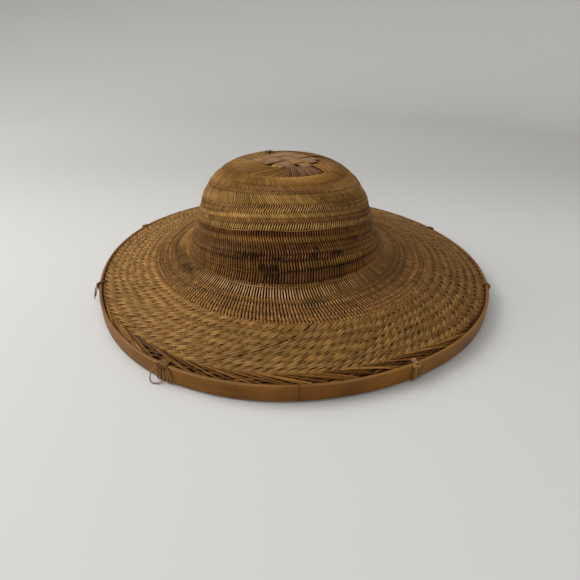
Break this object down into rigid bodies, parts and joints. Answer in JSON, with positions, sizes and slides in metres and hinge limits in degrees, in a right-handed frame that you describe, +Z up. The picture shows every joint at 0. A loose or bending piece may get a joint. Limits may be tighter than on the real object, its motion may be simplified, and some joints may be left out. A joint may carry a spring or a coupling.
{
  "type": "rice paddy hat",
  "caption": "Woven bamboo sun hat with a domed crown, a broad slanted-twill brim and a lashed hoop rim.",
  "frame": {"origin": "on the floor, under the middle of the hat's bounding box", "axes": "+Z up through the crown, -Y towards the side that faces the camera in the picture, +X to its right"},
  "size_m": [0.3986, 0.3988, 0.1255],
  "materials": {
    "crown_weave": "fine splint weave in bands of gold, brown and near black",
    "inner_brim_weave": "fine radial ribs bound by thin wefts, dull satin",
    "outer_brim_weave": "flat bamboo splints in a slanted twill, satin and handled",
    "folded_border": "splint ends folded over and twined, satin",
    "bent_bamboo": "smooth bamboo skin, satin, tan with red-brown patches",
    "stained_bamboo": "dull bamboo pith, darkened",
    "broad_splints": "broad bamboo splints, weathered grey to pinkish tan",
    "rattan_lashing": "thin rattan skin, dull satin"
  },
  "bodies": {
    "root": {"crown": "crown_weave", "inner_brim": "inner_brim_weave", "outer_brim": "outer_brim_weave", "edge_border": "folded_border", "outer_hoop": "bent_bamboo", "inner_hoop": "stained_bamboo", "top_splints": "broad_splints", "lashing_right": "rattan_lashing", "lashing_front_right": "rattan_lashing", "lashing_front_left": "rattan_lashing", "lashing_left": "rattan_lashing", "lashing_back_left": "rattan_lashing", "lashing_back_middle_left": "rattan_lashing", "lashing_back_middle_right": "rattan_lashing", "lashing_back_right": "rattan_lashing"}
  },
  "joints": []
}
